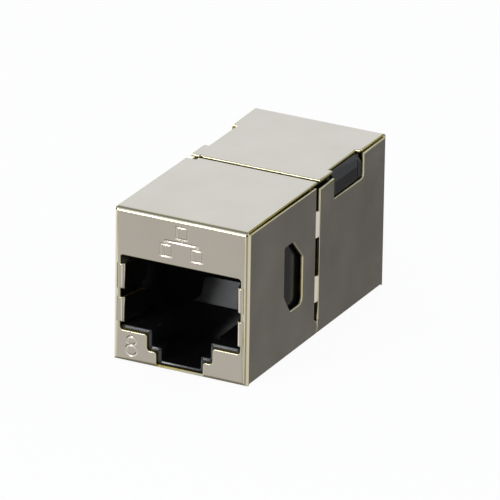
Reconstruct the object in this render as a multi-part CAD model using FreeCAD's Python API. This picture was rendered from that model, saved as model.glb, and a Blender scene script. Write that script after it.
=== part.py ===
import FreeCAD, Part
import math
import os
from FreeCAD import Vector

# A shielded inline coupler: two eight-contact sockets, back to back in a folded metal case.
# Millimetres, +Z up. The front socket looks along -Y, the rear one along +Y, and the origin is
# under the middle of the base. Each end is drawn once, with its end face at y = 0 and its depth
# along +Y, and is then set on the front or turned half round onto the rear.

# Case: two five-sided boxes, each folded from one cross of plated brass sheet
case_length = 28.7
case_width = 14.0
case_height = 15.4
sheet = 0.25
bend_inside = 0.30
corner_gap = 0.06
corner_gap_spread = 0.16
corner_start = 0.30
corner_relief = 0.11
panel_round = 0.45
sill_angle = 45.0

# Seam between the two boxes, measured from the front end face
front_flap = 13.91
seam_gap = 0.70
seam_lip = 0.54
seam_play = 0.05
top_seam_setback = 0.33
closed_corner_height = 1.57
wide_corner_width = 1.30
seam_notch_radius = 0.18

# Tongues of the rear box, stepped inwards to slide under the side flaps of the front box
tongue_height = 2.70
low_tongue_base = 3.28
high_tongue_base = 9.80
tongue_reach = 1.80
tongue_play = 0.03
tongue_bend = 0.30

# Six-sided slot in each side flap of the front box
slot_front = 7.51
slot_width = 3.70
slot_base = 4.41
slot_height = 6.82
slot_rear_slope = (2.00, 2.13)
slot_front_slope = (1.33, 1.90)
slot_round = 0.60

# Window in each side flap of the rear box, measured from the rear end face
window_start = 4.97
window_length = 6.10
window_depth = 2.80
window_round = 0.40
window_top_cut = 0.50
window_top_length = 5.80
lowered_edge = 0.50

# Grounding springs, cut from the end panel on both sides of the port and folded inwards
spring_height = 2.50
low_spring_base = 3.93
high_spring_base = 7.27
spring_reach = 3.30
spring_lean = 12.5
spring_inset = 0.25
spring_bend = 0.17
spring_tip_round = 0.60
spring_room = 0.15

# Plastic fit inside the sheet
fit = 0.05
panel_margin_side = 0.33
panel_margin_channel = 0.38
panel_margin_floor = 0.37
panel_margin_top = 0.05
panel_corner = 0.30

# Socket for the standard eight-way plug
socket_wall = 0.77
cavity_floor = 3.565
cavity_height = 7.05
latch_width = 6.16
latch_floor = 1.98
channel_width = 4.10
channel_wall = 0.40
socket_corner = 0.20
socket_lead_in = 0.12
middle_wall = 3.00
latch_lip = 1.60
latch_pocket = 9.00
side_shoulder = 8.90

# Plug stop: a block as wide as the latch pocket, with a face that leans back
stop_front = 10.05
stop_base = 2.85
stop_height = 2.42
stop_lean = 20.0
stop_round = 0.60

# Housing above the sockets
end_wall = 1.90
roof = 0.60
pocket_wall = 1.05

# Contacts: flat gilt wires, bent back over themselves
contact_count = 8
contact_pitch = 1.02
contact_width = 0.45
contact_thickness = 0.30
contact_play = 0.02
nose_depth = 2.55
nose_radius = 0.50
run_above_roof = 0.30
contact_slope = 19.5
tip_depth = 9.00
tail_corner = 0.30
tail_depths = (9.40, 10.90)
tail_above_board = 0.45

# Comb on the middle wall that keeps the contact tips apart
comb_rib = 0.36
comb_overlap = 0.45
comb_drop = 0.10

# Contact carriers and circuit board
roof_slot_margin = 0.50
carrier_front = 0.75
carrier_rear = 12.15
carrier_flange_front = 1.40
carrier_step = 0.05
board_thickness = 0.80
board_start = 4.00
board_hole_play = 0.05
board_hole_sides = 8

# Cover over the board, with a snap lug on each side
cover_top = 0.60
tail_room = 0.10
cover_rib = 0.60
lug_bottom_gap = 0.30
lug_end_gap = 0.22
lug_sunk = 0.08
lug_ramp_height = 0.95
lug_ramp_depth = 0.20
lug_groove = 0.22
lug_groove_depth = 0.12
lug_rib = 0.65

# Sizes worked out from the ones above
half_width = case_width / 2
bend_outside = bend_inside + sheet
rear_flap = case_length - front_flap - seam_gap
plastic_face = sheet + fit
plastic_half = half_width - sheet - fit
plastic_base = sheet + fit
plastic_top = case_height - sheet - fit
cavity_half = plastic_half - socket_wall
cavity_roof = cavity_floor + cavity_height
cavity_end = (case_length - middle_wall) / 2
channel_floor = plastic_base + channel_wall
tongue_step = sheet + tongue_play
waist_half = half_width - sheet - tongue_step - fit
window_base = case_height - window_depth
side_wall_top = window_base - fit
ledge = cavity_roof + roof
pocket_half = plastic_half - pocket_wall
end_wall_back = plastic_face + end_wall
cover_underside = plastic_top - cover_top
board_top = cover_underside - tail_room - tail_above_board
board_base = board_top - board_thickness
board_half = pocket_half - fit
roof_slot_half = (contact_count - 1) * contact_pitch / 2 + contact_width / 2 + roof_slot_margin
run_height = cavity_roof + run_above_roof
port_half = cavity_half + panel_margin_side
beyond = 1.0


# Drawing helpers

def in_front_view(u, v, depth):
    return Vector(u, depth, v)


def in_side_view(u, v, depth):
    return Vector(depth, u, v)


def in_top_view(u, v, depth):
    return Vector(u, v, depth)


def span(x, y, z):
    """A block between pairs of coordinates."""
    return Part.makeBox(x[1] - x[0], y[1] - y[0], z[1] - z[0], Vector(x[0], y[0], z[0]))


def rounded_wire(points, radii):
    """A closed outline of straight runs, with a tangent arc at each corner that has a radius."""
    joints = []
    for i, here in enumerate(points):
        towards = (points[i - 1] - here).normalize()
        away = (points[(i + 1) % len(points)] - here).normalize()
        if radii[i] <= 0:
            joints.append((here, None, here))
            continue
        half = towards.getAngle(away) / 2
        reach = radii[i] / math.tan(half)
        inward = (towards + away).normalize()
        middle = here + inward * (radii[i] / math.sin(half) - radii[i])
        joints.append((here + towards * reach, middle, here + away * reach))
    edges = []
    for i, (start, middle, end) in enumerate(joints):
        if middle is not None:
            edges.append(Part.Arc(start, middle, end).toShape())
        following = joints[(i + 1) % len(joints)][0]
        if end.distanceToPoint(following) > 1e-6:
            edges.append(Part.LineSegment(end, following).toShape())
    return Part.Wire(edges)


def outline(view, points, radii, depth):
    """An outline drawn in one of the views, at a depth along the view's third axis."""
    if not isinstance(radii, (list, tuple)):
        radii = [radii] * len(points)
    return rounded_wire([view(u, v, depth) for u, v in points], radii)


def prism(view, points, depths, radii=0.0):
    """A flat outline carried straight from one depth to another."""
    face = Part.Face(outline(view, points, radii, depths[0]))
    return face.extrude(view(0, 0, depths[1] - depths[0]))


def strip(view, points, radii, thickness, depths):
    """A bent strip, from the middle line of its sheet and the bend radii on that line."""
    half = thickness / 2
    near, far, near_radii, far_radii = [], [], [], []
    for i, (u, v) in enumerate(points):
        before = points[i - 1] if i > 0 else (2 * u - points[1][0], 2 * v - points[1][1])
        after = points[i + 1] if i + 1 < len(points) else (2 * u - before[0], 2 * v - before[1])
        heading_in = math.atan2(v - before[1], u - before[0])
        turn = math.atan2(after[1] - v, after[0] - u) - heading_in
        turn = math.remainder(turn, 2 * math.pi)
        across = heading_in + turn / 2 + math.pi / 2
        offset = half / math.cos(turn / 2)
        near.append((u + offset * math.cos(across), v + offset * math.sin(across)))
        far.append((u - offset * math.cos(across), v - offset * math.sin(across)))
        bent = radii[i] > 0
        near_radii.append(radii[i] - math.copysign(half, turn) if bent else 0.0)
        far_radii.append(radii[i] + math.copysign(half, turn) if bent else 0.0)
    return prism(view, near + far[::-1], depths, near_radii + far_radii[::-1])


def mirrored(shape):
    return shape.mirror(Vector(0, 0, 0), Vector(1, 0, 0))


def both_sides(shape):
    return [shape, mirrored(shape)]


def at_front(shape):
    """Set a shape of the end drawing on the front end."""
    placed = shape.copy()
    placed.translate(Vector(0, -case_length / 2, 0))
    return placed


def at_rear(shape):
    """Set a shape of the end drawing on the rear end, turned half round."""
    placed = at_front(shape)
    placed.rotate(Vector(0, 0, 0), Vector(0, 0, 1), 180)
    return placed


def round_end_edges(shape, depth, radius):
    """Round the edges of the end face that lies at one depth."""
    ring = [e for e in shape.Edges if all(abs(v.Y - depth) < 1e-6 for v in e.Vertexes)]
    return shape.makeFillet(radius, ring)


# Outline of the port, shared by the metal cut-out, the plastic mouth and its lead-in

def port_points(side, channel_side, floor, top, bottom):
    """Half of the stepped outline, then its mirror image, running round the port."""
    right = [
        (cavity_half + side, cavity_roof + top),
        (cavity_half + side, cavity_floor - floor),
        (latch_width / 2 + side, cavity_floor - floor),
        (latch_width / 2 + side, latch_floor - floor),
        (channel_width / 2 + channel_side, latch_floor - floor),
        (channel_width / 2 + channel_side, bottom),
    ]
    return right + [(-x, z) for x, z in right[::-1]]


# Case sheets

def folded_tray(length):
    """One end panel with its four flaps, open at the far end, with bare cut corners."""
    wall = (-half_width, half_width)
    outer = round_end_edges(span(wall, (0, length), (0, case_height)), 0, bend_outside)
    room = span((wall[0] + sheet, wall[1] - sheet), (sheet, length + beyond),
                (sheet, case_height - sheet))
    tray = outer.cut(round_end_edges(room, sheet, bend_inside))
    panel = prism(in_front_view, [(wall[1], case_height), (wall[1], 0), (wall[0], 0),
                                  (wall[0], case_height)], (-beyond, corner_start), panel_round)
    flaps = span((-case_width, case_width), (corner_start, length + beyond),
                 (-beyond, case_height + beyond))
    tray = tray.common(panel.fuse(flaps))
    inner = half_width - sheet
    edge = case_height - sheet - corner_gap
    corner = prism(in_side_view, [
        (corner_start, edge), (bend_outside, edge), (length + beyond, edge - corner_gap_spread),
        (length + beyond, case_height + beyond), (corner_start, case_height + beyond)],
        (inner, half_width + beyond))
    low_corner = prism(in_top_view, [
        (inner, corner_start), (inner - corner_gap, corner_start),
        (inner - corner_gap, bend_outside),
        (inner - corner_gap - corner_gap_spread, length + beyond), (inner, length + beyond)],
        (-beyond, sheet + fit))
    for height in (edge, 0.0):
        relief = Part.makeCylinder(corner_relief, bend_outside + beyond,
                                   Vector(inner, -beyond, height), Vector(0, 1, 0))
        for cut in both_sides(relief):
            tray = tray.cut(cut)
    for cut in both_sides(corner) + both_sides(low_corner):
        tray = tray.cut(cut)
    return tray


def cut_port(tray):
    """The stepped port cut through the end panel and part of the way round the bend below it."""
    points = port_points(panel_margin_side, panel_margin_channel, panel_margin_floor,
                         panel_margin_top, -beyond)
    ends = (5, 6)
    radii = [0.0 if i in ends else panel_corner for i in range(len(points))]
    port = prism(in_front_view, points, (-beyond, bend_outside), radii)
    sill = math.radians(sill_angle)
    sill_end = bend_outside - (bend_outside + beyond) * math.tan(sill)
    below_sill = prism(in_side_view, [
        (bend_outside, bend_outside), (-beyond, sill_end), (-beyond, sill_end - beyond),
        (bend_outside, sill_end - beyond)], (-half_width, half_width))
    return tray.cut(port.cut(below_sill))


def grounding_spring(base):
    """A finger of the end panel, folded inwards and leaning towards the plug."""
    lean = math.radians(spring_lean)
    fold = (port_half - spring_inset, sheet / 2)
    line = [(half_width - bend_outside + spring_inset / 2, sheet / 2), fold,
            (fold[0] - spring_reach * math.tan(lean), fold[1] + spring_reach)]
    radii = (0.0, spring_bend + sheet / 2, 0.0)
    finger = strip(in_top_view, line, radii, sheet, (base, base + spring_height))
    tip = fold[1] + spring_reach
    frame = prism(in_side_view, [(-beyond, base), (tip, base), (tip, base + spring_height),
                                 (-beyond, base + spring_height)],
                  (0, half_width), (0.0, spring_tip_round, spring_tip_round, 0.0))
    return finger.common(frame)


def with_springs(tray):
    for base in (low_spring_base, high_spring_base):
        for spring in both_sides(grounding_spring(base)):
            tray = tray.fuse(spring)
    return tray


def side_slot():
    """The six-sided slot, cut straight across both side flaps of the front box."""
    rear = slot_front + slot_width
    top = slot_base + slot_height
    points = [(slot_front, slot_base + slot_front_slope[1]), (slot_front, top),
              (rear - slot_rear_slope[0], top), (rear, top - slot_rear_slope[1]),
              (rear, slot_base), (slot_front + slot_front_slope[0], slot_base)]
    radii = (0.15, 0.15, 0.15, 0.15, slot_round, 0.15)
    return prism(in_side_view, points, (-half_width - beyond, half_width + beyond), radii)


def front_shield():
    """The front box: side flaps end early, the top and the low corners reach into the seam."""
    length = front_flap + seam_lip
    tray = with_springs(cut_port(folded_tray(length)))
    inner = half_width - sheet - corner_gap
    under_top = case_height - sheet - corner_gap / 2
    side_end = span((inner, half_width + beyond), (front_flap, length + beyond),
                    (closed_corner_height, under_top))
    notch = Part.makeCylinder(seam_notch_radius, sheet + beyond,
                              Vector(inner, length - seam_notch_radius, closed_corner_height),
                              Vector(1, 0, 0))
    top_end = span((-half_width - beyond, wide_corner_width - half_width),
                   (front_flap, length + beyond), (under_top, case_height + beyond))
    for cut in both_sides(side_end) + both_sides(notch) + [top_end, side_slot()]:
        tray = tray.cut(cut)
    return at_front(tray)


def seam_tongue(base):
    """A tongue on the free edge of a side flap, stepped in by one sheet."""
    outside = half_width - sheet / 2
    line = [(outside, rear_flap - seam_gap), (outside, rear_flap + seam_play),
            (outside - tongue_step, rear_flap + seam_gap - seam_play),
            (outside - tongue_step, rear_flap + seam_gap + tongue_reach)]
    radii = (0.0, tongue_bend, tongue_bend, 0.0)
    return strip(in_top_view, line, radii, sheet, (base, base + tongue_height))


def side_window(length):
    """The window in the top edge of a side flap, with the lowered edge beside it."""
    window_end = window_start + window_length
    window = prism(in_side_view, [
        (window_start, window_base), (window_end, window_base),
        (window_end, case_height + beyond), (window_start, case_height + beyond)],
        (half_width - sheet - corner_gap, half_width + beyond), (window_round, 0.0, 0.0, 0.0))
    lowered = span((half_width - sheet, half_width + beyond), (window_end - fit, length + beyond),
                   (case_height - sheet - lowered_edge, case_height + beyond))
    top_cut = span((half_width - sheet - window_top_cut, half_width),
                   (window_end - window_top_length, window_end),
                   (case_height - sheet - corner_gap, case_height + beyond))
    return window.fuse(lowered).fuse(top_cut)


def rear_shield():
    """The rear box: windows for the snap lugs, and tongues that slide into the front box."""
    corner_reach = seam_gap - seam_lip - seam_play
    length = rear_flap + corner_reach
    tray = with_springs(cut_port(folded_tray(length)))
    inner = half_width - sheet - corner_gap
    under_top = case_height - sheet - corner_gap / 2
    side_end = span((inner, half_width + beyond), (rear_flap, length + beyond),
                    (closed_corner_height, under_top))
    top_end = span((-half_width, half_width), (rear_flap - top_seam_setback, length + beyond),
                   (under_top, case_height + beyond))
    notch = Part.makeCylinder(seam_notch_radius, sheet + beyond,
                              Vector(half_width - wide_corner_width,
                                     rear_flap - top_seam_setback, under_top), Vector(0, 0, 1))
    for cut in both_sides(side_end) + [top_end, notch] + both_sides(side_window(length)):
        tray = tray.cut(cut)
    for base in (low_tongue_base, high_tongue_base):
        for tongue in both_sides(seam_tongue(base)):
            tray = tray.fuse(tongue)
    return at_rear(tray)


# Moulded housing

def socket_room():
    """Everything that one socket takes out of the housing: mouth, cavity, latch and springs."""
    def mouth_wire(margin, depth):
        points = port_points(margin, margin, margin, margin, channel_floor - margin)
        return outline(in_front_view, points, socket_corner, depth)

    lead_in = Part.makeLoft([mouth_wire(socket_lead_in, plastic_face),
                             mouth_wire(0.0, plastic_face + socket_lead_in)], True, True)
    mouth = Part.Face(mouth_wire(0.0, plastic_face - beyond)).extrude(
        Vector(0, latch_lip + beyond, 0))
    cavity = span((-cavity_half, cavity_half), (plastic_face - beyond, cavity_end),
                  (cavity_floor, cavity_roof))
    latch = span((-latch_width / 2, latch_width / 2),
                 (plastic_face + latch_lip, plastic_face + latch_lip + latch_pocket),
                 (channel_floor, cavity_floor + socket_corner))
    springs = span((cavity_half - spring_room, plastic_half + beyond),
                   (plastic_face - beyond, plastic_face + spring_reach + spring_room),
                   (cavity_floor, cavity_roof))
    return mouth.fuse([lead_in, cavity, latch] + both_sides(springs)).cut(plug_stop())


def plug_stop():
    """The block that the nose of a plug comes up against, with a face that leans back."""
    half = latch_width / 2
    top = stop_base + stop_height
    block = prism(in_front_view, [(half, top), (half, stop_base), (-half, stop_base),
                                  (-half, top)], (stop_front, cavity_end),
                  (stop_round, 0.0, 0.0, stop_round))
    set_back = stop_height * math.tan(math.radians(stop_lean))
    lean = prism(in_side_view, [(stop_front, stop_base), (stop_front + set_back, top),
                                (stop_front, top)], (-half - beyond, half + beyond))
    return block.cut(lean)


def comb():
    """Ribs on the middle wall, one between each two contacts and one outside each end."""
    tip_height = contact_line(0)[-1][1]
    front = tip_depth - comb_overlap
    ribs = []
    for i in range(contact_count + 1):
        middle = (i - contact_count / 2) * contact_pitch
        ribs.append(span((middle - comb_rib / 2, middle + comb_rib / 2),
                         (front, cavity_end + fit), (tip_height - comb_drop, cavity_roof)))
    return ribs


def jack_housing():
    """The moulding that holds both sockets, with a waist between them for the tongues."""
    ends = (plastic_face, case_length - plastic_face)
    body = span((-plastic_half, plastic_half), ends, (plastic_base, plastic_top))
    for depth in ends:
        body = round_end_edges(body, depth, bend_inside - fit)
    inside = (end_wall_back, case_length - end_wall_back)
    body = body.cut(span((-case_width, case_width), inside, (side_wall_top, case_height)))
    body = body.cut(span((-pocket_half, pocket_half), inside, (ledge, case_height)))
    waist = span((waist_half, case_width), (side_shoulder, case_length - side_shoulder),
                 (0, case_height))
    for cut in both_sides(waist):
        body = body.cut(cut)
    body = at_front(body)
    roof_slot = span((-roof_slot_half, roof_slot_half), (end_wall_back, carrier_rear + fit),
                     (cavity_roof - fit, ledge + fit))
    for place in (at_front, at_rear):
        body = body.cut(place(socket_room())).cut(place(roof_slot))
        body = body.fuse([place(rib) for rib in comb()])
    return body.removeSplitter()


# Contacts, carriers and board

def contact_place(number):
    return (number - (contact_count - 1) / 2) * contact_pitch


def contact_line(number):
    """Middle line of a contact: down through the board, forward, round the nose and back."""
    slope = math.radians(contact_slope)
    fold = nose_depth + contact_thickness / 2 + nose_radius
    fold -= nose_radius / math.tan(slope / 2)
    tail = tail_depths[number % len(tail_depths)]
    return [(tail, board_top + tail_above_board), (tail, run_height + tail_corner),
            (tail - tail_corner, run_height), (fold, run_height),
            (tip_depth, run_height - (tip_depth - fold) * math.tan(slope))]


def contact(number, play=0.0):
    """One contact, or the room that it needs when it is given some play."""
    across = contact_place(number)
    reach = contact_width / 2 + play
    return strip(in_side_view, contact_line(number), (0.0, 0.0, 0.0, nose_radius, 0.0),
                 contact_thickness + 2 * play, (across - reach, across + reach))


def contact_carrier():
    """The moulding round the contacts: a block in the roof slot under a flange on its ledges."""
    inner_front = end_wall_back + carrier_front + nose_radius
    block = span((carrier_step - roof_slot_half, roof_slot_half - carrier_step),
                 (inner_front, carrier_rear), (cavity_roof + carrier_step, ledge))
    flange = span((-board_half, board_half), (end_wall_back + carrier_step, carrier_rear),
                  (ledge, board_base))
    flange = flange.cut(span((-board_half, board_half), (0, inner_front),
                             (ledge - beyond, ledge + carrier_flange_front / 2)))
    body = block.fuse(flange)
    for number in range(contact_count):
        body = body.cut(contact(number, contact_play))
    return body.removeSplitter()


def contact_board():
    """The circuit board across both carriers, with a plated hole for each tail."""
    board = at_front(span((-board_half, board_half), (board_start, case_length - board_start),
                          (board_base, board_top)))
    clear = math.hypot(contact_width, contact_thickness) / 2 + board_hole_play
    corner = clear / math.cos(math.pi / board_hole_sides)
    turns = [2 * math.pi * (i + 0.5) / board_hole_sides for i in range(board_hole_sides)]
    for place in (at_front, at_rear):
        for number in range(contact_count):
            across = contact_place(number)
            tail = tail_depths[number % len(tail_depths)]
            hole = prism(in_top_view, [(across + corner * math.cos(turn),
                                        tail + corner * math.sin(turn)) for turn in turns],
                         (board_base, board_top))
            board = board.cut(place(hole))
    return board


# Cover

def snap_lug():
    """The lug that snaps into a window: a ramp above a flat face, with a rib behind a groove."""
    face = half_width - lug_sunk
    root = plastic_half - lug_groove_depth
    front = case_length - window_start - window_length + lug_end_gap
    rear = case_length - window_start - lug_end_gap
    base = window_base + lug_bottom_gap
    lug = prism(in_front_view, [
        (root, base), (face, base), (face, plastic_top - lug_ramp_height),
        (face - lug_ramp_depth, plastic_top), (root, plastic_top)], (front, rear))
    groove = span((face - lug_groove_depth, case_width),
                  (rear - lug_rib - lug_groove, rear - lug_rib), (base, case_height))
    return lug.cut(groove)


def housing_cover():
    """The lid over the board: a top, two skirts and the ribs that hold the board down."""
    rib_inside = board_half - cover_rib
    section = [
        (plastic_half, side_wall_top), (plastic_half, plastic_top),
        (-plastic_half, plastic_top), (-plastic_half, side_wall_top),
        (-pocket_half, side_wall_top), (-pocket_half, board_top), (-rib_inside, board_top),
        (-rib_inside, cover_underside), (rib_inside, cover_underside), (rib_inside, board_top),
        (pocket_half, board_top), (pocket_half, side_wall_top)]
    ends = (end_wall_back + fit, case_length - end_wall_back - fit)
    cover = prism(in_front_view, section, ends)
    for lug in both_sides(snap_lug()):
        cover = cover.fuse(lug)
    return at_front(cover.removeSplitter())


# Every piece by name

def all_pieces():
    pieces = {
        "front_shield": front_shield(),
        "rear_shield": rear_shield(),
        "jack_housing": jack_housing(),
        "housing_cover": housing_cover(),
        "contact_board": contact_board(),
        "front_contact_carrier": at_front(contact_carrier()),
        "rear_contact_carrier": at_rear(contact_carrier()),
    }
    for end, place in (("front", at_front), ("rear", at_rear)):
        for number in range(contact_count):
            pieces[f"{end}_contact_{number + 1}"] = place(contact(number))
    return pieces


os.makedirs("parts", exist_ok=True)
for name, shape in all_pieces().items():
    solids = shape.Solids
    piece = solids[0] if len(solids) == 1 else shape
    piece.exportStep(f"parts/{name}.step")
    print(name, "solids", len(solids), "valid", shape.isValid(), "volume", round(shape.Volume, 3))
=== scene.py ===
import math

import bmesh
import bpy
from mathutils import Matrix, Vector
from mathutils.bvhtree import BVHTree


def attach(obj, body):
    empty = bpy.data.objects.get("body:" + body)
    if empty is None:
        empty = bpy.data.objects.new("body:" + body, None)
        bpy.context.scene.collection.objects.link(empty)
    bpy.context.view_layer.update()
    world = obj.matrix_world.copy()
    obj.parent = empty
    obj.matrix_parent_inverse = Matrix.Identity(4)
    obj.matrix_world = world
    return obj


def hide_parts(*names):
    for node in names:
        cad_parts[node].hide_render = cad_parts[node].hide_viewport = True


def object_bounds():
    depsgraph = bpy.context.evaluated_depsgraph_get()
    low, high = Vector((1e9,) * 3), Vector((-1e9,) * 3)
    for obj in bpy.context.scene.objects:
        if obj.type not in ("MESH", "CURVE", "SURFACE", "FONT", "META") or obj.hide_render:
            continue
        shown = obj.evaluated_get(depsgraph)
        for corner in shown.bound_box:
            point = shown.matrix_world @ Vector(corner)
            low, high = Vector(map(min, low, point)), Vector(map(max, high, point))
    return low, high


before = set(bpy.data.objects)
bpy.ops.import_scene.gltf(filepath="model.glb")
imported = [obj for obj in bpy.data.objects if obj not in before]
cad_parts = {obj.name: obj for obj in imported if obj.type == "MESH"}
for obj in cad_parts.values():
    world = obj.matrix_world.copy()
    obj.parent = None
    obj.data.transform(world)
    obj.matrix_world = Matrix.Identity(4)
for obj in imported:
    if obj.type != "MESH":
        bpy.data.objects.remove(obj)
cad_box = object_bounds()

# The looks of a shielded inline coupler: two folded boxes of plated sheet round a black moulding.
# Blender works in metres, so each size in millimetres is multiplied by MM.
MM = 0.001

# Folded sheet, in millimetres: its thickness, how deep a plated face may be, and its worked edges
SHEET = 0.25
PLATED_DEPTH = 1.35 * SHEET
BEND_OUTSIDE = 0.55
BEND_FADE = 0.25 * BEND_OUTSIDE
CORNER_ZONE = 0.80
ROLLED_RIM = 0.11
BURR_EDGE_ROUND = 0.03
FLAP_RISE = 0.12

# Mouldings and wires, in millimetres
MOULDED_EDGE_ROUND = 0.05
MOULDED_LIP_EASE = 0.11
MOUTH_ZONE = 0.35
LUG_FACE_TO_EDGE = 0.30
LUG_LEAN = 0.30
WIRE_EDGE_ROUND = 0.03

# Corners of a mesh that lie within this many millimetres are one
WELD = 0.0002

# Angles between two faces, in degrees, that tell one kind of edge from another
FLAT_ANGLE = 0.5
STAMPED_ANGLE = 25
LIP_ANGLE = 40
SHEARED_ANGLE = 50
CORNER_ANGLE = 60
METAL_SMOOTH_ANGLE = 40.0
MOULDED_SMOOTH_ANGLE = 20.0

# Stamped marks in the front panel, in millimetres: a network symbol and a plain number.
# Each ring of the number has a half width, a half height and a place up from the middle.
MARK_DEPTH = 0.08
MARK_SLOPE = 0.10
MARK_STROKE = 0.26
MARK_ZONE = 1.2 * MARK_DEPTH
STAMPED_EDGE_ROUND = 0.03
SYMBOL_MIDDLE = (0.05, 13.02)
SYMBOL_BOX = 1.15
SYMBOL_SPREAD = 1.60
SYMBOL_RISE = 0.98
BOX_CORNERS = 4
NUMBER_MIDDLE = (-5.02, 1.80)
NUMBER_RINGS = ((0.58, 0.52, -0.48), (0.47, 0.42, 0.46))
NUMBER_CORNERS = 28

# Camera: where the photographer stood, in degrees round the middle of the case and millimetres
CAMERA_AZIMUTH = 26.752
CAMERA_ELEVATION = 22.489
CAMERA_ROLL = 0.959
CAMERA_DISTANCE = 799.6
CAMERA_SLIDE = (-0.083, -0.463)
CAMERA_LENS = 614.9
CAMERA_SENSOR = 36.0
CAMERA_SEES_FROM = 10
CAMERA_SEES_TO = 5000

# Key lamp: where it hangs, in degrees round the case and millimetres, its side and its radiance
KEY_AZIMUTH = -26
KEY_ELEVATION = 23.5
KEY_DISTANCE = 400
KEY_SIDE = 84
KEY_RADIANCE = 12.0

# Floor: its half side and its drop below the base in millimetres, and how white the camera sees it
FLOOR_HALF_SIDE = 1200.0
FLOOR_DROP = 0.02
FLOOR_WHITE = 1.03
FLOOR_WHITE_SHARE = 0.90

# What the metal mirrors, as pairs of a compass angle from +X in degrees and a level of white:
# below the horizon the sweep, darkest behind the case and a little to its right, and above it
# the room. Straight up is a darker ceiling, and straight down the shade under the case.
SWEEP_LEVELS = ((-180, 1.10), (-150, 1.15), (-130, 0.66), (-123, 0.58), (-117, 0.66),
                (-110, 0.60), (-90, 0.72), (-78, 1.05), (-70, 1.05), (-58, 0.60),
                (-45, 0.34), (-32, 0.40), (-18, 0.85), (-5, 0.90), (38, 0.95), (47, 0.48),
                (54, 0.34), (70, 0.05), (77, 0.08), (84, 0.28), (95, 0.55), (118, 0.70),
                (138, 1.20), (180, 1.10))
ROOM_LEVELS = ((-180, 0.95), (-135, 1.15), (-100, 1.15), (-80, 1.00), (-45, 0.60), (0, 0.55),
               (63, 0.60), (90, 0.85), (105, 1.00), (135, 1.00), (180, 0.95))
CEILING_LEVEL = 0.30
UNDERNEATH_LEVEL = 0.24
FILL_LEVEL = 0.60
LEVEL_RANGE = 2.0
BACKDROP = (0.935, 0.985, 1.035, 1.0)
WHITE = (1.0, 1.0, 1.0, 1.0)

# How steep a mirrored ray is, from -1 straight down to 1 straight up, where the sweep gives way
# to the room, the room to the ceiling, and the sweep to the shade underneath
HORIZON = (-0.10, 0.10)
CEILING = (0.76, 0.88)
UNDERNEATH = (-0.55, -0.78)


# Colour and node helpers

def colour(hex_text):
    """An sRGB hex colour as the linear colour that Blender works with."""
    parts = [int(hex_text[i:i + 2], 16) / 255 for i in (1, 3, 5)]
    return [p / 12.92 if p <= 0.04045 else ((p + 0.055) / 1.055) ** 2.4 for p in parts] + [1.0]


def add(tree, kind, inputs=None, **settings):
    """One node with its settings, and its inputs either set or linked from another node's output."""
    made = tree.nodes.new("ShaderNode" + kind)
    for name, value in settings.items():
        setattr(made, name, value)
    for socket, value in (inputs or {}).items():
        if isinstance(value, bpy.types.NodeSocket):
            tree.links.new(value, made.inputs[socket])
        else:
            made.inputs[socket].default_value = value
    return made


def repeats(size):
    """The noise scale whose features are about this many millimetres wide."""
    return 1 / (size * MM)


def new_material(name):
    """An empty node tree, with the object's own coordinates to draw patterns on."""
    material = bpy.data.materials.new(name)
    material.use_nodes = True
    tree = material.node_tree
    tree.nodes.clear()
    place = add(tree, "TexCoord").outputs["Object"]
    return material, tree, place


def close_material(tree, shader):
    """Give the finished shader to the surface."""
    add(tree, "OutputMaterial", {"Surface": shader})


def ramp(tree, factor, stops):
    """A colour ramp from pairs of a place and a colour."""
    made = add(tree, "ValToRGB", {"Fac": factor})
    band = made.color_ramp
    while len(band.elements) < len(stops):
        band.elements.new(0.5)
    for element, (position, value) in zip(band.elements, stops):
        element.position = position
        element.color = value
    return made.outputs["Color"]


def levels(tree, factor, low, high):
    """A factor from 0 to 1 carried to a range of levels."""
    made = add(tree, "MapRange", {"Value": factor, "To Min": low, "To Max": high})
    return made.outputs["Result"]


def blend(tree, factor, first, second):
    """The first colour at a factor of 0, and the second at 1."""
    made = add(tree, "MixRGB", {"Fac": factor, "Color1": first, "Color2": second})
    return made.outputs["Color"]


def calculate(tree, operation, first, second=0.0):
    """One step of arithmetic on one or two values."""
    return add(tree, "Math", {0: first, 1: second}, operation=operation).outputs["Value"]


def eased(tree, value, start, end):
    """A factor that rises smoothly from 0 to 1 as a value goes from its start to its end."""
    made = add(tree, "MapRange", {"Value": value, "From Min": start, "From Max": end},
               interpolation_type="SMOOTHSTEP")
    return made.outputs["Result"]


# Materials

def on_the_bends(tree, place):
    """How far a point lies on a bend of the case, where the plating was stretched thin."""
    axes = add(tree, "SeparateXYZ", {0: place})
    middle = middle_of_case()
    past = []
    for i, axis in enumerate("XYZ"):
        off = calculate(tree, "SUBTRACT", axes.outputs[axis], middle[i])
        flat = cad_box[1][i] - middle[i] - BEND_OUTSIDE * MM
        past.append(calculate(tree, "SUBTRACT", calculate(tree, "ABSOLUTE", off), flat))
    upright = calculate(tree, "MINIMUM", past[0], past[1])
    level = calculate(tree, "MINIMUM", past[1], past[2])
    return eased(tree, calculate(tree, "MAXIMUM", upright, level), 0.0, BEND_FADE * MM)


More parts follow.
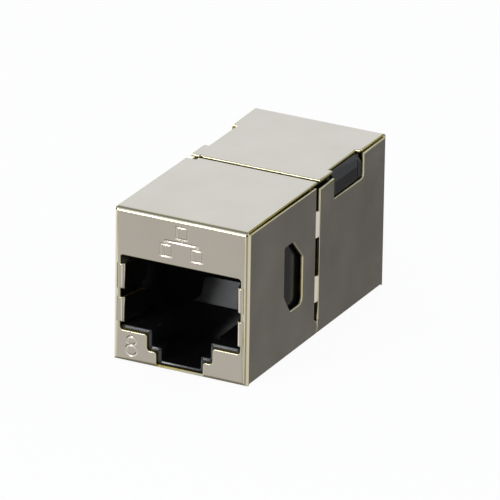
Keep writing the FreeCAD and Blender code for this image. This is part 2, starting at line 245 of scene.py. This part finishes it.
def nickel_plate():
    """Bright nickel on rolled brass strip: a warm grey mirror, softened by fine rolling lines and
    by the slight waves that folding leaves in thin sheet."""
    material, tree, place = new_material("nickel_plated_brass_strip")
    handling = add(tree, "TexNoise", {"Vector": place, "Scale": repeats(5.0), "Detail": 3.0})
    tone = ramp(tree, handling.outputs["Fac"],
                [(0.30, colour("#D0C8BB")), (0.70, colour("#D6CEC1"))])
    stretched = add(tree, "Mapping", {"Vector": place, "Scale": (8.0, 1.0, 8.0)})
    rolling = add(tree, "TexNoise", {"Vector": stretched.outputs["Vector"],
                                     "Scale": repeats(1.2), "Detail": 4.0})
    waves = add(tree, "TexNoise", {"Vector": place, "Scale": repeats(7.0), "Detail": 1.0})
    fine = add(tree, "Bump", {"Height": rolling.outputs["Fac"], "Strength": 0.10,
                              "Distance": 0.010 * MM})
    wavy = add(tree, "Bump", {"Height": waves.outputs["Fac"], "Strength": 0.8,
                              "Distance": 0.05 * MM, "Normal": fine.outputs["Normal"]})
    dulled = calculate(tree, "MULTIPLY", rolling.outputs["Fac"], handling.outputs["Fac"])
    tone = blend(tree, on_the_bends(tree, place), tone, colour("#D0C8AE"))
    shader = add(tree, "BsdfPrincipled", {
        "Base Color": tone, "Metallic": 1.0,
        "Roughness": levels(tree, dulled, 0.10, 0.36),
        "Normal": wavy.outputs["Normal"]})
    close_material(tree, shader.outputs["BSDF"])
    return material


def sheared_brass():
    """The bare cut edge of the strip: yellow brass, smeared by the punch along one side."""
    material, tree, place = new_material("sheared_brass_edge")
    stretched = add(tree, "Mapping", {"Vector": place, "Scale": (3.0, 3.0, 1.0)})
    smear = add(tree, "TexNoise", {"Vector": stretched.outputs["Vector"],
                                   "Scale": repeats(0.6), "Detail": 3.0})
    tone = ramp(tree, smear.outputs["Fac"],
                [(0.35, colour("#BFAE62")), (0.65, colour("#D8C987"))])
    fine = add(tree, "Bump", {"Height": smear.outputs["Fac"], "Strength": 0.3,
                              "Distance": 0.01 * MM})
    shader = add(tree, "BsdfPrincipled", {
        "Base Color": tone, "Metallic": 1.0,
        "Roughness": levels(tree, smear.outputs["Fac"], 0.32, 0.46),
        "Normal": fine.outputs["Normal"]})
    close_material(tree, shader.outputs["BSDF"])
    return material


def rolled_rim():
    """The rim that the punch drew down beside each cut: nickel stretched thin over yellow brass."""
    material, tree, place = new_material("thin_nickel_on_rolled_rim")
    wear = add(tree, "TexNoise", {"Vector": place, "Scale": repeats(0.9), "Detail": 3.0})
    tone = ramp(tree, wear.outputs["Fac"],
                [(0.30, colour("#CFC79A")), (0.70, colour("#D8D3BE"))])
    shader = add(tree, "BsdfPrincipled", {
        "Base Color": tone, "Metallic": 1.0,
        "Roughness": levels(tree, wear.outputs["Fac"], 0.16, 0.26)})
    close_material(tree, shader.outputs["BSDF"])
    return material


def black_pbt():
    """Glass-filled PBT from a spark-eroded mould: near black, half gloss, with a fine even grain."""
    material, tree, place = new_material("moulded_black_pbt")
    cloud = add(tree, "TexNoise", {"Vector": place, "Scale": repeats(2.5), "Detail": 3.0})
    tone = ramp(tree, cloud.outputs["Fac"],
                [(0.30, colour("#121214")), (0.70, colour("#19191B"))])
    grain = add(tree, "TexNoise", {"Vector": place, "Scale": repeats(0.12), "Detail": 2.0})
    bumps = add(tree, "Bump", {"Height": grain.outputs["Fac"], "Strength": 0.25,
                               "Distance": 0.01 * MM})
    shader = add(tree, "BsdfPrincipled", {
        "Base Color": tone, "Metallic": 0.0, "IOR": 1.55,
        "Roughness": levels(tree, cloud.outputs["Fac"], 0.14, 0.24),
        "Normal": bumps.outputs["Normal"]})
    close_material(tree, shader.outputs["BSDF"])
    return material


def gold_flash():
    """Gold over nickel on drawn bronze wire: a clean yellow with faint drawing lines."""
    material, tree, place = new_material("gold_flashed_bronze_wire")
    stretched = add(tree, "Mapping", {"Vector": place, "Scale": (6.0, 1.0, 6.0)})
    lines = add(tree, "TexNoise", {"Vector": stretched.outputs["Vector"],
                                   "Scale": repeats(0.8), "Detail": 3.0})
    tone = ramp(tree, lines.outputs["Fac"],
                [(0.30, colour("#E0B866")), (0.70, colour("#EFCB80"))])
    shader = add(tree, "BsdfPrincipled", {
        "Base Color": tone, "Metallic": 1.0,
        "Roughness": levels(tree, lines.outputs["Fac"], 0.14, 0.24)})
    close_material(tree, shader.outputs["BSDF"])
    return material


def green_laminate():
    """Glass-epoxy board under printed solder mask: green and glossy, with the weave just felt."""
    material, tree, place = new_material("solder_masked_glass_epoxy")
    weave = add(tree, "TexBrick", {
        "Vector": place, "Scale": repeats(1.0), "Color1": colour("#14502C"),
        "Color2": colour("#1A5C34"), "Mortar": colour("#0F4425"), "Mortar Size": 0.04,
        "Brick Width": 0.5, "Row Height": 0.25})
    bumps = add(tree, "Bump", {"Height": weave.outputs["Fac"], "Strength": 0.1,
                               "Distance": 0.01 * MM})
    shader = add(tree, "BsdfPrincipled", {
        "Base Color": weave.outputs["Color"], "Metallic": 0.0, "IOR": 1.5, "Roughness": 0.25,
        "Normal": bumps.outputs["Normal"]})
    close_material(tree, shader.outputs["BSDF"])
    return material


# Mesh helpers

def welded(*nodes):
    """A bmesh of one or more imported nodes, with their loose triangles joined up."""
    bm = bmesh.new()
    for name in nodes:
        bm.from_mesh(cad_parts[name].data)
    bmesh.ops.remove_doubles(bm, verts=bm.verts, dist=WELD * MM)
    for face in bm.faces:
        face.material_index = 0
    return bm


def flatten_faces(bm):
    """Join the triangles that lie in one plane and have one finish."""
    bmesh.ops.dissolve_limit(bm, angle_limit=math.radians(FLAT_ANGLE),
                             use_dissolve_boundaries=False, verts=bm.verts, edges=bm.edges,
                             delimit={"MATERIAL"})


def round_edges(bm, edges, size, segments=2, material=-1):
    """Ease edges by a size in millimetres: one segment makes a facet, more make a round."""
    bmesh.ops.bevel(bm, geom=edges, offset=size * MM, offset_type="OFFSET", segments=segments,
                    profile=0.5, affect="EDGES", clamp_overlap=False, material=material)


def sharp_edges(bm, angle, convex_only=True):
    """The edges that turn by more than an angle, in degrees."""
    limit = math.radians(angle)
    return [e for e in bm.edges if len(e.link_faces) == 2 and e.calc_face_angle(0.0) > limit
            and (e.is_convex or not convex_only)]


def into_scene(name, data):
    """An object in the scene, made from a mesh, a lamp or a camera."""
    made = bpy.data.objects.new(name, data)
    bpy.context.scene.collection.objects.link(made)
    return made


def as_mesh(bm, name):
    """Turn a bmesh into a mesh, and let the bmesh go."""
    mesh = bpy.data.meshes.new(name)
    bm.to_mesh(mesh)
    bm.free()
    return mesh


def finish_piece(bm, name, nodes, materials, smooth_angle=METAL_SMOOTH_ANGLE):
    """Turn a bmesh into a shown piece that rides on the part and stands for its nodes."""
    for face in bm.faces:
        face.smooth = True
    limit = math.radians(smooth_angle)
    for edge in bm.edges:
        edge.smooth = len(edge.link_faces) == 2 and edge.calc_face_angle(0.0) <= limit
    mesh = as_mesh(bm, name)
    for material in materials:
        mesh.materials.append(material)
    piece = into_scene(name, mesh)
    normals = piece.modifiers.new("even_normals", "WEIGHTED_NORMAL")
    normals.mode = "FACE_AREA"
    normals.keep_sharp = True
    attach(piece, "root")
    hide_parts(*nodes)


# Folded boxes of plated sheet

PLATED, CUT, RIM = 0, 1, 2


def find_cut_faces(bm):
    """Where the sheet is one thickness deep behind a face it is plated, elsewhere it was cut."""
    tree = BVHTree.FromBMesh(bm)
    for face in bm.faces:
        start = face.calc_center_median() - face.normal * WELD * MM
        depth = tree.ray_cast(start, -face.normal)[3]
        plated = depth is not None and depth < PLATED_DEPTH * MM
        face.material_index = PLATED if plated else CUT


def insets(edge):
    """How far the middle of an edge lies in from the sides, the ends and the top or base."""
    middle = (edge.verts[0].co + edge.verts[1].co) / 2
    return [min(middle[i] - cad_box[0][i], cad_box[1][i] - middle[i]) for i in range(3)]


def on_the_outside(edge):
    """Whether a cut edge lies on the outer surface of the case, where the punch came in."""
    return min(insets(edge)) < SHEET / 2 * MM


def in_a_corner(edge):
    """Whether an edge is part of the small relief in a corner, which stays as it was cut."""
    return max(insets(edge)) < CORNER_ZONE * MM


def sheared_edges(bm):
    """The edges where a plated face meets a cut one."""
    return [e for e in sharp_edges(bm, SHEARED_ANGLE) if not in_a_corner(e)
            and {f.material_index for f in e.link_faces} == {PLATED, CUT}]


def lift_the_flaps(bm):
    """Raise the lower edges of the side flaps a little off the ground, as in the photo."""
    side = cad_box[1].x - (SHEET + WELD) * MM
    for vert in bm.verts:
        if abs(vert.co.x) > side and vert.co.z < cad_box[0].z + WELD * MM:
            vert.co.z += FLAP_RISE * MM


def folded_box(node, name, marks=()):
    """One folded box, stamped with its marks: its cut faces are bare brass, between eased edges."""
    bm = welded(node)
    lift_the_flaps(bm)
    for mark in marks:
        bm = cut_by(bm, mark)
    find_cut_faces(bm)
    flatten_faces(bm)
    outer = [e for e in sheared_edges(bm) if on_the_outside(e)]
    round_edges(bm, outer, ROLLED_RIM, segments=3, material=RIM)
    round_edges(bm, sheared_edges(bm), BURR_EDGE_ROUND, segments=1)
    if marks:
        front = cad_box[0].y + MARK_ZONE * MM
        stamped = [e for e in sharp_edges(bm, STAMPED_ANGLE, convex_only=False)
                   if {f.material_index for f in e.link_faces} == {PLATED}
                   and all(v.co.y < front for v in e.verts)]
        round_edges(bm, stamped, STAMPED_EDGE_ROUND)
    finish_piece(bm, name, [node], [NICKEL, BRASS, THIN_NICKEL])


# Stamped marks: each stroke is a groove with sloping walls

def shape_groove(bm, half_width):
    """Set a stroke's cross-section, from a unit square: wide outside the sheet, narrow inside."""
    for vert in bm.verts:
        deep = vert.co.y > 0
        reach = half_width - MARK_SLOPE if deep else half_width + MARK_SLOPE
        vert.co.x = math.copysign(reach, vert.co.x)
        vert.co.y = MARK_DEPTH if deep else -MARK_DEPTH


def on_the_panel(bm, middle):
    """Carry a cutter that was drawn in millimetres round the origin to the front panel."""
    bmesh.ops.recalc_face_normals(bm, faces=bm.faces)
    bmesh.ops.scale(bm, vec=(MM, MM, MM), verts=bm.verts)
    bmesh.ops.translate(bm, verts=bm.verts,
                        vec=(middle[0] * MM, cad_box[0].y, middle[1] * MM))
    return bm


def bar(start, end):
    """A straight stroke between two points of the panel, upright or level."""
    bm = bmesh.new()
    bmesh.ops.create_cube(bm, size=1.0)
    shape_groove(bm, MARK_STROKE / 2)
    across, up = end[0] - start[0], end[1] - start[1]
    bmesh.ops.scale(bm, vec=(1.0, 1.0, math.hypot(across, up)), verts=bm.verts)
    turn = Matrix.Rotation(math.atan2(across, up), 3, "Y")
    bmesh.ops.rotate(bm, cent=(0, 0, 0), matrix=turn, verts=bm.verts)
    return on_the_panel(bm, ((start[0] + end[0]) / 2, (start[1] + end[1]) / 2))


def ring(middle, wide, high, corners):
    """A closed stroke: four corners make a box, many make a rounded ring."""
    bm = bmesh.new()
    bmesh.ops.create_circle(bm, segments=4, radius=1.0)
    bmesh.ops.rotate(bm, cent=(0, 0, 0), matrix=Matrix.Rotation(math.pi / 4, 3, "Z"),
                     verts=bm.verts)
    shape_groove(bm, MARK_STROKE / 2)
    bmesh.ops.translate(bm, vec=(wide, 0, 0), verts=bm.verts)
    bmesh.ops.spin(bm, geom=bm.verts[:] + bm.edges[:], cent=(0, 0, 0), axis=(0, 1, 0),
                   angle=2 * math.pi, steps=corners, use_merge=True)
    bmesh.ops.rotate(bm, cent=(0, 0, 0), matrix=Matrix.Rotation(math.pi / corners, 3, "Y"),
                     verts=bm.verts)
    bmesh.ops.scale(bm, vec=(1.0, 1.0, high / wide), verts=bm.verts)
    return on_the_panel(bm, middle)


def network_symbol():
    """A generic network symbol: one box above two, joined by lines."""
    x, z = SYMBOL_MIDDLE
    corner = SYMBOL_BOX / math.sqrt(2)
    half = SYMBOL_BOX / 2
    boxes = [(x, z + SYMBOL_RISE), (x - SYMBOL_SPREAD, z - SYMBOL_RISE),
             (x + SYMBOL_SPREAD, z - SYMBOL_RISE)]
    strokes = [ring(middle, corner, corner, BOX_CORNERS) for middle in boxes]
    strokes.append(bar((x, z), (x, z + SYMBOL_RISE - half)))
    strokes.append(bar((x - SYMBOL_SPREAD - MARK_STROKE / 2, z),
                       (x + SYMBOL_SPREAD + MARK_STROKE / 2, z)))
    for side in (-1, 1):
        foot = x + side * SYMBOL_SPREAD
        strokes.append(bar((foot, z - SYMBOL_RISE + half), (foot, z)))
    return strokes


def plain_number():
    """A plain figure eight, from two rings that share a stroke."""
    x, z = NUMBER_MIDDLE
    return [ring((x, z + up), wide, high, NUMBER_CORNERS) for wide, high, up in NUMBER_RINGS]


def cut_by(bm, cutter):
    """Take a cutter's volume out of a mesh."""
    uncut = into_scene("uncut", as_mesh(bm, "uncut"))
    tool = into_scene("cutter", as_mesh(cutter, "cutter"))
    cut = uncut.modifiers.new("cut", "BOOLEAN")
    cut.operation = "DIFFERENCE"
    cut.solver = "EXACT"
    cut.object = tool
    whole = uncut.evaluated_get(bpy.context.evaluated_depsgraph_get())
    result = bmesh.new()
    result.from_mesh(whole.to_mesh())
    whole.to_mesh_clear()
    for holder in (uncut, tool):
        mesh = holder.data
        bpy.data.objects.remove(holder)
        bpy.data.meshes.remove(mesh)
    bmesh.ops.remove_doubles(result, verts=result.verts, dist=WELD * MM)
    return result


# Mouldings

def moulding(node, name, shape=None):
    """One moulding: the chamfered lip of each mouth is eased, and other edges have a radius."""
    bm = welded(node)
    if shape:
        shape(bm)
    flatten_faces(bm)
    others = [e for e in sharp_edges(bm, CORNER_ANGLE) if insets(e)[1] > MOUTH_ZONE * MM]
    round_edges(bm, others, MOULDED_EDGE_ROUND)
    lips = [e for e in sharp_edges(bm, LIP_ANGLE) if insets(e)[1] < MOUTH_ZONE * MM]
    round_edges(bm, lips, MOULDED_LIP_EASE, segments=1)
    finish_piece(bm, name, [node], [BLACK_PBT], smooth_angle=MOULDED_SMOOTH_ANGLE)


def lean_the_skirts(bm):
    """Draw the top of the cover in, so that its lugs slope back under the lid as in the photo."""
    top = max(v.co.z for v in bm.verts) - WELD * MM
    edge = max(v.co.x for v in bm.verts) - LUG_FACE_TO_EDGE * MM
    for vert in bm.verts:
        if vert.co.z > top and abs(vert.co.x) > edge:
            vert.co.x -= math.copysign(LUG_LEAN * MM, vert.co.x)


# Contacts

WIRES_IN_A_ROW = 8


def contact_row(end):
    """The wires of one socket, with their drawn corners eased."""
    nodes = [f"{end}_contact_{number + 1}" for number in range(WIRES_IN_A_ROW)]
    bm = welded(*nodes)
    flatten_faces(bm)
    round_edges(bm, sharp_edges(bm, CORNER_ANGLE), WIRE_EDGE_ROUND)
    finish_piece(bm, f"{end}_contact_row", nodes, [GOLD])


# Stage: floor, world, lamp and camera

def studio_floor():
    """A pale sweep that the camera sees as white, with the object's soft shadow on it. It lies
    just under the base, and from below it is clear, so that the base can be looked at."""
    bm = bmesh.new()
    bmesh.ops.create_grid(bm, x_segments=1, y_segments=1, size=FLOOR_HALF_SIDE * MM)
    bmesh.ops.translate(bm, verts=bm.verts, vec=(0, 0, cad_box[0].z - FLOOR_DROP * MM))
    mesh = as_mesh(bm, "floor")
    floor = into_scene("floor", mesh)
    floor.visible_glossy = False
    material, tree, _ = new_material("pale_paper_sweep")
    lit = add(tree, "BsdfDiffuse", {"Color": colour("#F4F4F4")})
    white = add(tree, "Emission", {"Color": WHITE, "Strength": FLOOR_WHITE})
    seen = add(tree, "MixShader", {0: FLOOR_WHITE_SHARE, 1: lit.outputs["BSDF"],
                                   2: white.outputs["Emission"]})
    ray = add(tree, "LightPath")
    both = add(tree, "MixShader", {0: ray.outputs["Is Camera Ray"],
                                   1: lit.outputs["BSDF"], 2: seen.outputs["Shader"]})
    clear = add(tree, "BsdfTransparent")
    side = add(tree, "NewGeometry")
    one_way = add(tree, "MixShader", {0: side.outputs["Backfacing"], 1: both.outputs["Shader"],
                                      2: clear.outputs["BSDF"]})
    close_material(tree, one_way.outputs["Shader"])
    mesh.materials.append(material)


def grey(level):
    """A level of white as a colour that a ramp can hold. The world's strength scales it back."""
    return [level / LEVEL_RANGE] * 3 + [1.0]


def compass_levels(tree, angle, stops):
    """A level for each compass angle, in straight slopes from one stop to the next."""
    turn = add(tree, "MapRange", {"Value": angle, "From Min": -math.pi, "From Max": math.pi})
    return ramp(tree, turn.outputs["Result"], [((a + 180) / 360, grey(v)) for a, v in stops])


def studio_world():
    """White for the camera, and for mirrored rays a sweep and a room of paler and darker greys.
    Every other ray sees one dimmer level, which fills the shadows."""
    world = bpy.data.worlds.new("studio")
    world.use_nodes = True
    bpy.context.scene.world = world
    tree = world.node_tree
    tree.nodes.clear()
    way = add(tree, "SeparateXYZ", {0: add(tree, "TexCoord").outputs["Generated"]})
    height = way.outputs["Z"]
    angle = calculate(tree, "ARCTAN2", way.outputs["Y"], way.outputs["X"])
    sweep = compass_levels(tree, angle, SWEEP_LEVELS)
    room = compass_levels(tree, angle, ROOM_LEVELS)
    room = blend(tree, eased(tree, height, *CEILING), room, grey(CEILING_LEVEL))
    sweep = blend(tree, eased(tree, height, *UNDERNEATH), sweep, grey(UNDERNEATH_LEVEL))
    tone = add(tree, "MixRGB", {"Fac": 1.0, "Color1": room, "Color2": BACKDROP},
               blend_type="MULTIPLY")
    around = blend(tree, eased(tree, height, *HORIZON), sweep, tone.outputs["Color"])
    ray = add(tree, "LightPath")
    mirrored = calculate(tree, "MAXIMUM", ray.outputs["Is Glossy Ray"],
                         ray.outputs["Is Transmission Ray"])
    mirror = add(tree, "Background", {"Color": around, "Strength": LEVEL_RANGE})
    fill = add(tree, "Background", {"Color": BACKDROP, "Strength": FILL_LEVEL})
    white = add(tree, "Background", {"Color": WHITE, "Strength": 1.0})
    unseen = add(tree, "MixShader", {0: mirrored, 1: fill.outputs["Background"],
                                     2: mirror.outputs["Background"]})
    both = add(tree, "MixShader", {0: ray.outputs["Is Camera Ray"], 1: unseen.outputs["Shader"],
                                   2: white.outputs["Background"]})
    add(tree, "OutputWorld", {"Surface": both.outputs["Shader"]})


def soft_box(name, azimuth, elevation, distance, size, radiance):
    """A square lamp that faces the middle of the case. Distances are in millimetres."""
    lamp = bpy.data.lights.new(name, "AREA")
    lamp.shape = "SQUARE"
    lamp.size = size * MM
    lamp.energy = radiance * math.pi * (size * MM) ** 2
    holder = into_scene(name, lamp)
    back = direction(azimuth, elevation)
    holder.location = middle_of_case() + back * distance * MM
    holder.rotation_euler = back.to_track_quat("Z", "Y").to_euler()


def direction(azimuth, elevation):
    """The way from the case to a viewer. Azimuth 0 stands at -Y, and 90 at +X."""
    a = math.radians(azimuth)
    e = math.radians(elevation)
    return Vector((math.sin(a) * math.cos(e), -math.cos(a) * math.cos(e), math.sin(e)))


def middle_of_case():
    """The middle of the CAD box, which the lamp faces and the camera stands round."""
    return (cad_box[0] + cad_box[1]) / 2


def photographer():
    """The camera at the photo's viewing angle: a long lens, turned, rolled and slid as found."""
    lens = bpy.data.cameras.new("camera")
    lens.sensor_width = CAMERA_SENSOR
    lens.lens = CAMERA_LENS
    lens.clip_start = CAMERA_SEES_FROM * MM
    lens.clip_end = CAMERA_SEES_TO * MM
    back = direction(CAMERA_AZIMUTH, CAMERA_ELEVATION)
    right = direction(CAMERA_AZIMUTH + 90, 0)
    up = back.cross(right)
    roll = math.radians(CAMERA_ROLL)
    across = math.cos(roll) * right + math.sin(roll) * up
    upright = math.cos(roll) * up - math.sin(roll) * right
    place = middle_of_case() + MM * (CAMERA_DISTANCE * back + CAMERA_SLIDE[0] * across
                                     + CAMERA_SLIDE[1] * upright)
    camera = into_scene("camera", lens)
    turn = Matrix((across, upright, back)).transposed()
    camera.matrix_world = Matrix.Translation(place) @ turn.to_4x4()
    bpy.context.scene.camera = camera


# Everything in its order

bpy.context.scene.view_settings.view_transform = "Standard"
photographer()
studio_floor()
studio_world()
soft_box("key", KEY_AZIMUTH, KEY_ELEVATION, KEY_DISTANCE, KEY_SIDE, KEY_RADIANCE)

NICKEL = nickel_plate()
BRASS = sheared_brass()
THIN_NICKEL = rolled_rim()
BLACK_PBT = black_pbt()
GOLD = gold_flash()
LAMINATE = green_laminate()

folded_box("front_shield", "front_box", network_symbol() + plain_number())
folded_box("rear_shield", "rear_box")
moulding("jack_housing", "socket_moulding")
moulding("housing_cover", "cover_moulding", lean_the_skirts)
moulding("front_contact_carrier", "front_carrier")
moulding("rear_contact_carrier", "rear_carrier")
contact_row("front")
contact_row("rear")
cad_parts["contact_board"].data.materials.clear()
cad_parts["contact_board"].data.materials.append(LAMINATE)
